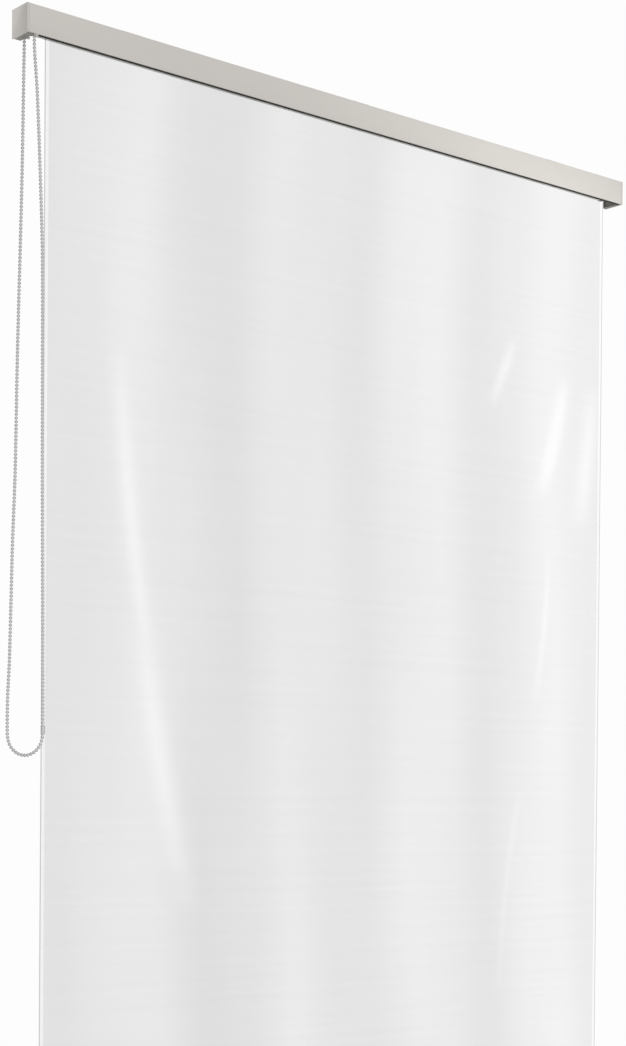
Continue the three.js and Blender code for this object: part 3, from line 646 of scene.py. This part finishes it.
def clear_beads(name):
    """Clear moulded plastic: a little light runs through the beads, and their rims get a painted
    shade, near black where they turn from the eye.
    """
    material, tree, shader = base_material(name)
    tint = bpy.context.scene.curtain_chain.tint
    surface = grain_node(tree, tint, *BEAD_GRAIN)
    # Painted shade: the colour goes to near black towards each bead's outline, about its waist.
    facing = add_node(tree, "ShaderNodeLayerWeight", {"Blend": 0.5})
    rim = ramp(tree, facing.outputs["Facing"], PAINTED_RIM_FROM, PAINTED_RIM_TO)
    along = add_node(tree, "ShaderNodeAttribute", attribute_name="along")
    waist = ramp(tree, along.outputs["Fac"], WAIST_TO, END_FROM, start=1, end=0)
    painted_rim_shade = maths(tree, "MULTIPLY", rim, waist)
    feed(tree, shader, {
        "Base Color": mixed_colour(tree, painted_rim_shade, surface.outputs["Colour"], PAINTED_RIM_SHADE),
        "Roughness": surface.outputs["Roughness"], "Transmission Weight": 0.08, "IOR": 1.49})
    return material


def clear_film(name):
    """Clear film: thin and glossy, with painted bands of light and shade along its waves and
    ripples, a painted glare on its right side, painted highlights on its creases, and a drawn line
    along its hems.
    """
    film = bpy.context.scene.curtain_film
    material, tree, shader = base_material(name)
    wave, hem, down, crease = (
        add_node(tree, "ShaderNodeAttribute", attribute_name=layer).outputs["Fac"]
        for layer in FILM_LAYERS)
    place = add_node(tree, "ShaderNodeUVMap", uv_map="film_metres").outputs["UV"]
    across = add_node(tree, "ShaderNodeSeparateXYZ", {"Vector": place}).outputs["X"]

    def noise(scale, detail):
        """Noise over the film's own metres, as an output."""
        drawn = add_node(tree, "ShaderNodeMapping", {"Vector": place, "Scale": scale})
        return add_node(tree, "ShaderNodeTexNoise", {
            "Vector": drawn.outputs["Vector"], "Scale": 1, "Detail": detail}).outputs["Fac"]

    ripple, streak = noise(RIPPLE_SCALE, 3), noise(STREAK_SCALE, 2)
    # Painted glare: past these places across, the film hides less, so its right side shows lighter.
    veil = ramp(tree, across, *PAINTED_GLARE_SPAN, start=film.veil, end=film.veil - PAINTED_GLARE_LOSS)
    # Painted light and shade: the film hides more and less along its ripples.
    veil = spread_value(tree, ripple, veil, PAINTED_RIPPLE_MARK)
    veil = spread_value(tree, streak, veil, STREAK_MARK)
    # Painted glare fading: more hiding towards the bottom, the more so towards the right.
    glare_fade = maths(tree, "MULTIPLY", down, across)
    # Painted light and shade: bands along the waves, a fade of the painted glare, and highlights on
    # the creases, where the film hides less.
    for value, mark in ((glare_fade, GLARE_FADE_MARK), (wave, PAINTED_BAND_MARK), (crease, CREASE_HIGHLIGHT_MARK)):
        veil = maths(tree, "MULTIPLY_ADD", value, mark, veil)
    # dim and bright are a shaded and a lit copy of the film's tint, mixed by the ripple relief:
    # painted shade and painted light.
    dim, bright = ([share * part for part in film.tint[:3]] + [1] for share in (0.8, 1.2))
    relief = add_node(tree, "ShaderNodeBump", {
        "Height": ripple, "Strength": 0.5, "Distance": 0.004})
    feed(tree, shader, {
        "Base Color": mixed_colour(tree, ripple, dim, bright),
        "Roughness": maths(tree, "MULTIPLY_ADD", ripple, 0.10, 0.07),
        "Alpha": maths(tree, "MULTIPLY_ADD", hem, HEM_MARK, veil, clamp=True),
        "Normal": relief.outputs["Normal"], "IOR": 1.5})
    return material


def clear_roll_film(name):
    """The film where it is wound: the same clear sheet, seen against the tube."""
    material, tree, shader = base_material(name)
    surface = grain_node(tree, ROLL_TONE, *ROLL_GRAIN)
    feed(tree, shader, {
        "Base Color": surface.outputs["Colour"], "Roughness": surface.outputs["Roughness"],
        "Alpha": 0.45})
    return material


def pale_floor(name):
    """A plain pale floor with the faintest mottling."""
    material, tree, shader = base_material(name)
    place = add_node(tree, "ShaderNodeTexCoord")
    cloud = add_node(
        tree, "ShaderNodeTexNoise", {"Vector": place.outputs["Object"], "Scale": 0.8})
    tone = mixed_colour(
        tree, cloud.outputs["Fac"], (0.86, 0.86, 0.85, 1), (0.90, 0.90, 0.89, 1))
    feed(tree, shader, {"Base Color": tone, "Roughness": 0.7})
    return material


CLEAR_OR_PALE = {
    maker.__name__: maker for maker in (clear_beads, clear_film, clear_roll_film, pale_floor)}


def finish(name):
    """A finish by its name, made when it is first asked for."""
    made = bpy.data.materials.get(name + "_finish")
    return made or CLEAR_OR_PALE.get(name, grained)(name)


# ---- the stage ----

class CURTAIN_OT_stage(bpy.types.Operator):
    """Sets up the camera, a round pale floor, the backdrop and soft lights"""
    bl_idname = "curtain.stage"
    bl_label = "Stage"

    def execute(self, context):
        self.add_camera(context)
        self.add_floor(context)
        self.add_world(context)
        studio = context.scene.curtain_studio
        self.add_light("key_light", (-0.8, -4.4, 1.6), 3.0, studio.key_power)
        self.add_light("fill_light", (-2.8, 4.0, 1.3), 2.6, studio.fill_power)
        self.add_light("side_light", (8.2, -3.0, 2.1), 3.2, studio.side_power)
        return {"FINISHED"}

    def add_camera(self, context):
        """The camera, aimed by its yaw and pitch and turned by its roll."""
        settings = context.scene.curtain_camera
        data = bpy.data.cameras.new("camera")
        data.lens = settings.lens
        data.shift_x, data.shift_y = settings.shift
        data.clip_start, data.clip_end = 0.05, 60
        camera = bpy.data.objects.new("camera", data)
        context.scene.collection.objects.link(camera)
        level = math.cos(settings.pitch)
        ahead = Vector((
            math.cos(settings.yaw) * level, math.sin(settings.yaw) * level,
            math.sin(settings.pitch)))
        right = ahead.cross(Vector((0, 0, 1))).normalized()
        up = right.cross(ahead)
        turned_right = right * math.cos(settings.roll) + up * math.sin(settings.roll)
        turned_up = turned_right.cross(ahead)
        turn = Matrix((turned_right, turned_up, -ahead)).transposed()
        camera.matrix_world = Matrix.Translation(settings.place) @ turn.to_4x4()
        context.scene.camera = camera

    def add_floor(self, context):
        """A round floor a little below the lowered rail."""
        studio = context.scene.curtain_studio
        bm = bmesh.new()
        bmesh.ops.create_circle(bm, cap_ends=True, segments=96, radius=studio.floor_radius)
        bmesh.ops.translate(bm, verts=bm.verts, vec=(0, 0, CAD_LOW.z - studio.floor_gap))
        mesh = mesh_from(bm, "floor")
        mesh.materials.append(finish("pale_floor"))
        floor = bpy.data.objects.new("floor", mesh)
        context.scene.collection.objects.link(floor)

    def add_world(self, context):
        """An even backdrop for the camera, and round it light that grows from side to side."""
        studio = context.scene.curtain_studio
        world = bpy.data.worlds.new("studio")
        world.use_nodes = True
        context.scene.world = world
        tree = world.node_tree
        tree.nodes.clear()
        seen = add_node(tree, "ShaderNodeBackground", {"Color": studio.backdrop})
        way = add_node(tree, "ShaderNodeTexCoord")
        split = add_node(tree, "ShaderNodeSeparateXYZ", {"Vector": way.outputs["Generated"]})
        strength = ramp(
            tree, split.outputs["X"], -0.5, 0.8, start=studio.dark_side, end=studio.light_side)
        cast = add_node(tree, "ShaderNodeBackground", {"Strength": strength})
        rays = add_node(tree, "ShaderNodeLightPath")
        either = add_node(tree, "ShaderNodeMixShader", {
            "Fac": rays.outputs["Is Camera Ray"], 1: cast.outputs["Background"],
            2: seen.outputs["Background"]})
        add_node(tree, "ShaderNodeOutputWorld", {"Surface": either.outputs["Shader"]})

    def add_light(self, name, place, width, power):
        """A soft square light that aims at the curtain's middle."""
        data = bpy.data.lights.new(name, "AREA")
        data.shape = "RECTANGLE"
        data.size = data.size_y = width
        data.energy = power
        light = bpy.data.objects.new(name, data)
        bpy.context.scene.collection.objects.link(light)
        middle = Vector((0, 0, CAD_LOW.z / 2))
        aim = (middle - Vector(place)).to_track_quat("-Z", "Y").to_matrix().to_4x4()
        light.matrix_world = Matrix.Translation(place) @ aim


# ---- the bead chain ----

class CURTAIN_OT_chain(bpy.types.Operator):
    """Threads the beads on the endless chain, and closes it with its connector"""
    bl_idname = "curtain.chain"
    bl_label = "Bead chain"

    def execute(self, context):
        chain = context.scene.curtain_chain
        values = {
            "Bead": chain.bead, "Pitch": chain.pitch, "Cord": chain.cord,
            "Finish": finish("clear_beads")}
        tree = bead_chain_tree()
        line = smooth_route(CHAIN_ROUTE, 0.5 * chain.pitch)
        mesh = run_tree(tree, route_curve("chain_route", line), values, "bead_chain")
        beads = piece(
            "bead_chain", mesh, "root", "bead_plastic", "clear_beads",
            "chain_front_run", "chain_bottom_loop", "chain_back_run")
        joint = self.add_connector(line)
        over = smooth_route(self.over_wheel(), 0.5 * chain.pitch)
        mesh = run_tree(tree, route_curve("wheel_route", over), values, "beads_on_wheel")
        piece("beads_on_wheel", mesh, "root", "bead_plastic", "clear_beads", "chain_on_wheel")
        return {"FINISHED"}

    def add_connector(self, line):
        """A barrel that snaps round two beads, with a waist in its middle and a lip at each end."""
        low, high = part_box("chain_connector")
        middle = (low + high) / 2
        nearest = min(line, key=lambda p: (p - middle).length)
        place = line.index(nearest)
        way = (line[place + 1] - line[place - 1]).normalized()
        half = 0.5 * (high.z - low.z)
        radius = 0.5 * (high.y - low.y)
        upper = [(share * half, size * radius) for share, size in BARREL]
        lower = [(-along, size) for along, size in reversed(upper)]
        mesh = turned_mesh(
            "connector_barrel", lower + upper, 28, middle, way, bore=0.4 * radius)
        return piece(
            "connector_barrel", mesh, "root", "connector_plastic", "clear_beads",
            "chain_connector")

    def over_wheel(self):
        """The chain's way up over the wheel, between its two openings in the guard."""
        front, back = Vector(CHAIN_ROUTE[0]), Vector(CHAIN_ROUTE[-1])
        radius = (back.y - front.y) / 2
        inside, below, steps = front.z + CHAIN_INSIDE, AXIS_Z - CHAIN_STRAIGHT, 16
        arc = [
            round_axis(WHEEL_X, radius, math.pi * (1 - step / steps))
            for step in range(steps + 1)]
        return [
            Vector((WHEEL_X, -radius, inside)), Vector((WHEEL_X, -radius, below)), *arc,
            Vector((WHEEL_X, radius, below)), Vector((WHEEL_X, radius, inside))]


class CURTAIN_OT_chain_wheel(bpy.types.Operator):
    """Makes the chain wheel with a round pocket for each bead"""
    bl_idname = "curtain.chain_wheel"
    bl_label = "Chain wheel"

    def execute(self, context):
        chain = context.scene.curtain_chain
        pitch_radius = WHEEL_POCKETS * chain.pitch / (2 * math.pi)
        half_bead = chain.bead / 2
        web = pitch_radius - 0.35 * half_bead
        groove = half_bead + GROOVE_PLAY
        inner = (WHEEL_HIGH.z - WHEEL_LOW.z) / 2 - WHEEL_RIM
        ring = turned_mesh("wheel_web", [
            (WHEEL_X - groove, inner), (WHEEL_X - groove, web), (WHEEL_X + groove, web),
            (WHEEL_X + groove, inner)], 64, (0, 0, AXIS_Z), (1, 0, 0), bore=inner - 0.001)
        bm = bmesh.new()
        for pocket in range(WHEEL_POCKETS):
            angle = 2 * math.pi * (pocket + 0.5) / WHEEL_POCKETS
            bmesh.ops.create_uvsphere(
                bm, u_segments=14, v_segments=9, radius=half_bead + POCKET_PLAY,
                matrix=Matrix.Translation(round_axis(WHEEL_X, pitch_radius, angle)))
        cutter = carrier(mesh_from(bm, "pockets"))
        ring_obj = carrier(ring)
        cut = ring_obj.modifiers.new("pockets", "BOOLEAN")
        cut.operation = "DIFFERENCE"
        cut.object = cutter
        cut.solver = "EXACT"
        context.view_layer.update()
        pocketed = evaluated_mesh(ring_obj, "cut_web")
        bpy.data.objects.remove(cutter)
        pocketed.set_sharp_from_angle(angle=math.radians(40))
        both = bmesh.new()
        for mesh in (eased("chain_wheel", 0.0002), pocketed):
            both.from_mesh(mesh)
        body = frame["nodes"]["chain_wheel"]["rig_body"]
        name = "chain_wheel_pocketed"
        piece(name, mesh_from(both, name), body, "white_plastic", "white_plastic", "chain_wheel")
        return {"FINISHED"}


# ---- the film ----

class CURTAIN_OT_film(bpy.types.Operator):
    """Hangs the clear film with its soft upright waves"""
    bl_idname = "curtain.film"
    bl_label = "Film"

    def execute(self, context):
        film = context.scene.curtain_film
        bm = bmesh.new()
        layers = {name: bm.verts.layers.float.new(name) for name in FILM_LAYERS}
        uv_layer = bm.loops.layers.uv.new("film_metres")
        front, back = (
            self.grid(bm, layers, film, offset)
            for offset in (-FILM_THICKNESS / 2, FILM_THICKNESS / 2))
        self.close(bm, front, back)
        for face in bm.faces:
            for loop in face.loops:
                place = loop.vert.co
                loop[uv_layer].uv = (place.x - FILM_LOW.x, FILM_HIGH.z - place.z)
        mesh = smooth_solid(bm, "hung_film", SHARP_FILM)
        sheet = piece("hung_film", mesh, "root", "clear_film", "clear_film", "film")
        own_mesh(sheet)
        return {"FINISHED"}

    def grid(self, bm, layers, film, offset):
        """One face of the film, as rows of corners that keep a value for each of its layers."""
        across_steps = self.steps_across(film)
        grid = []
        for row in range(film.rows + 1):
            down = row / film.rows * FILM_LENGTH
            line = []
            for across in across_steps:
                wave, swing = self.wave(film, across, down)
                crease = self.crease(across, down)
                vert = bm.verts.new((
                    FILM_LOW.x + across, FILM_PLANE - swing - CREASE_RISE * crease + offset,
                    FILM_HIGH.z - down))
                at_edge = min(across, FILM_WIDTH - across) / 1.01
                hem = 1.0 if at_edge < film.hem else -0.5 if at_edge < film.weld else 0.0
                for layer, value in zip(FILM_LAYERS, (wave, hem, down / FILM_LENGTH, crease)):
                    vert[layers[layer]] = value
                line.append(vert)
            grid.append(line)
        return grid

    def close(self, bm, front, back):
        """Faces over the film's front, its back and its four edges."""
        rows, last = len(front) - 1, len(front[0]) - 1
        for row in range(rows):
            for column in range(last):
                (a, b), (d, c) = (front[row + i][column:column + 2] for i in (0, 1))
                bm.faces.new((a, d, c, b))
                (a, b), (d, c) = (back[row + i][column:column + 2] for i in (0, 1))
                bm.faces.new((a, b, c, d))
            for column in (0, last):
                ring = (
                    front[row][column], back[row][column], back[row + 1][column],
                    front[row + 1][column])
                bm.faces.new(ring if column == 0 else ring[::-1])
        for column in range(last):
            for row in (0, rows):
                ring = (
                    front[row][column], front[row][column + 1], back[row][column + 1],
                    back[row][column])
                bm.faces.new(ring if row == 0 else ring[::-1])

    def crease(self, across, down):
        """How strongly the film is creased at a place, from 0 to 1."""
        most = 0.0
        for middle, height, half, lean, bow, width, strength in CREASES:
            along = (height - down) / half
            if abs(along) < 1:
                aside = across - middle - lean * along - bow * (1 - along * along)
                taper = (1 - along * along) ** 0.75
                most = max(most, strength * taper * math.exp(-(aside / width) ** 2))
        return most

    def steps_across(self, film):
        """Even steps across the film, with narrow ones for the hem and the weld at each edge."""
        edge = [0.0, film.hem, 1.2 * film.hem, film.weld, film.weld + 0.2 * film.hem]
        inner = FILM_WIDTH - 2 * edge[-1]
        middle = [edge[-1] + inner * i / film.columns for i in range(1, film.columns)]
        return edge + middle + [FILM_WIDTH - step for step in reversed(edge)]

    def wave(self, film, across, down):
        """How the film stands at a place: its wave's value, from -1 to 1, and its step forward."""
        turn = 2 * math.pi / film.wave_spacing
        drift = 0.05 * math.sin(1.9 * down) + 0.03 * math.sin(4.3 * down + 1.0)
        wave = math.cos(turn * (across - 0.063 + drift))
        wave += 0.35 * math.cos(0.47 * turn * (across + 0.3 - 0.6 * drift) + 0.7 * down)
        wave += 0.18 * math.cos(2.3 * turn * (across + 0.04 * math.sin(2.7 * down)))
        wave /= 1.53
        grown = 1.0
        for reach in (down, FILM_LENGTH - down):
            near = min(1.0, max(0.0, (reach - film.still_top) / film.settle))
            grown *= near * near * (3 - 2 * near)
        return wave, film.wave_height * grown * (0.5 - 0.5 * wave)


class CURTAIN_OT_film_roll(bpy.types.Operator):
    """Winds the film's last turn round the tube, from the clamp strip to where it hangs off"""
    bl_idname = "curtain.film_roll"
    bl_label = "Film on the roller"

    def execute(self, context):
        half = FILM_THICKNESS / 2
        middle = (ROLL_HIGH.y - ROLL_LOW.y) / 2 - half - ROLL_PLAY
        section = (
            (FILM_LOW.x, middle - half), (FILM_LOW.x, middle + half),
            (FILM_HIGH.x, middle + half), (FILM_HIGH.x, middle - half))
        bm = bmesh.new()
        rings = []
        for step in range(ROLL_STEPS + 1):
            angle = ROLL_START + ROLL_TURN * step / ROLL_STEPS
            rings.append([bm.verts.new(round_axis(x, radius, angle)) for x, radius in section])
        skin(bm, rings, looped=False)
        mesh = smooth_solid(bm, "film_turn", SHARP_METAL)
        piece("film_turn", mesh, "roller", "clear_film", "clear_roll_film", "wound_film")
        return {"FINISHED"}


# ---- the cassette, its brackets and the rail ----

class CURTAIN_OT_cassette(bpy.types.Operator):
    """Finishes the cassette profile, its end caps, its ceiling clips and the wiper lip"""
    bl_idname = "curtain.cassette"
    bl_label = "Cassette"

    def execute(self, context):
        ease_nodes("anodised_aluminium", 0.6, "cassette_profile")
        ease_nodes("anodised_aluminium", 1, "left_end_cap", "right_end_cap")
        clips = ["ceiling_clip_" + place for place in ("left", "middle", "right")]
        ease_nodes("plated_steel", 0.8, *clips, slot="clip_steel")
        ease_nodes("wiper_rubber", 0.5, "wiper_lip")
        return {"FINISHED"}


class CURTAIN_OT_brackets(bpy.types.Operator):
    """Finishes the drive housing, the idle bracket, the chain guard, the bush and the screws"""
    bl_idname = "curtain.brackets"
    bl_label = "Brackets"

    def execute(self, context):
        ease_nodes("grey_plastic", 1, "drive_housing", "idle_bracket", "chain_guard")
        ease_nodes("white_plastic", 1, "idle_bush")
        screws = [f"{end}_bracket_screw_{number}" for end in ("drive", "idle") for number in (1, 2)]
        ease_nodes("plated_steel", 0.5, *screws, slot="bright_steel")
        return {"FINISHED"}


class CURTAIN_OT_roller(bpy.types.Operator):
    """Finishes the roller tube and what turns or slides with it"""
    bl_idname = "curtain.roller"
    bl_label = "Roller"

    def execute(self, context):
        ease_nodes("anodised_aluminium", 0.8, "roller_tube")
        ease_nodes("dark_plastic", 1, "drive_drum", "idle_plug")
        ease_nodes("white_plastic", 1, "film_clamp_strip")
        ease_nodes("plated_steel", 1, "drive_spindle", "idle_pin", slot="bright_steel")
        ease_nodes("spring_steel", 0.5, "spindle_retainer")
        return {"FINISHED"}


class CURTAIN_OT_springs(bpy.types.Operator):
    """Winds the two wrap springs and the idle pin's spring"""
    bl_idname = "curtain.springs"
    bl_label = "Springs"

    def execute(self, context):
        tree = coil_spring_tree()
        for node, turns in (("wrap_spring_1", 3), ("wrap_spring_2", 3), ("idle_spring", 6)):
            low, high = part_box(node)
            values = {
                "Start": (low.x + SPRING_WIRE / 2, 0, AXIS_Z),
                "Length": high.x - low.x - SPRING_WIRE,
                "Radius": (high.y - low.y - SPRING_WIRE) / 2, "Turns": turns,
                "Wire": SPRING_WIRE, "Finish": finish("spring_steel")}
            seed = bpy.data.meshes.new(node + "_seed")
            mesh = run_tree(tree, seed, values, node + "_coil")
            body = frame["nodes"][node]["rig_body"]
            coil = piece(node + "_coil", mesh, body, "spring_steel", "spring_steel", node)
            if node == "idle_spring":
                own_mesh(coil)
        return {"FINISHED"}


class CURTAIN_OT_bottom_rail(bpy.types.Operator):
    """Finishes the bottom rail, its caps, and the keder and weight bar inside it"""
    bl_idname = "curtain.bottom_rail"
    bl_label = "Bottom rail"

    def execute(self, context):
        ease_nodes("anodised_aluminium", 0.6, "bottom_rail")
        ease_nodes("grey_plastic", 1, "left_rail_cap", "right_rail_cap")
        ease_nodes("white_plastic", 1, "film_keder")
        ease_nodes("plated_steel", 1, "weight_bar", slot="bright_steel")
        return {"FINISHED"}


OPERATORS = (
    CURTAIN_OT_stage, CURTAIN_OT_chain, CURTAIN_OT_film, CURTAIN_OT_film_roll, CURTAIN_OT_cassette,
    CURTAIN_OT_brackets, CURTAIN_OT_chain_wheel, CURTAIN_OT_roller, CURTAIN_OT_springs,
    CURTAIN_OT_bottom_rail,
)
SETTINGS = {
    "curtain_camera": CURTAIN_PG_camera, "curtain_studio": CURTAIN_PG_studio,
    "curtain_film": CURTAIN_PG_film, "curtain_chain": CURTAIN_PG_chain,
    "curtain_finishes": CURTAIN_PG_finishes,
}


class CURTAIN_PT_parts(bpy.types.Panel):
    """Lists the curtain's pieces in the order they are made"""
    bl_idname = "CURTAIN_PT_parts"
    bl_label = "Roller shower curtain"
    bl_space_type = "VIEW_3D"
    bl_region_type = "UI"
    bl_category = "Shower curtain"

    def draw(self, context):
        column = self.layout.column()
        for operator in OPERATORS:
            column.operator(operator.bl_idname, text=operator.bl_label)


def register():
    for group in SETTINGS.values():
        bpy.utils.register_class(group)
    for name, group in SETTINGS.items():
        setattr(bpy.types.Scene, name, PointerProperty(type=group))
    for operator in OPERATORS:
        bpy.utils.register_class(operator)
    bpy.utils.register_class(CURTAIN_PT_parts)


def unregister():
    bpy.utils.unregister_class(CURTAIN_PT_parts)
    for operator in reversed(OPERATORS):
        bpy.utils.unregister_class(operator)
    for name, group in SETTINGS.items():
        delattr(bpy.types.Scene, name)
        bpy.utils.unregister_class(group)


def main():
    register()
    bpy.context.scene.view_settings.view_transform = "Standard"
    for operator in OPERATORS:
        family, name = operator.bl_idname.split(".")
        getattr(getattr(bpy.ops, family), name)()


if __name__ == "__main__":
    main()
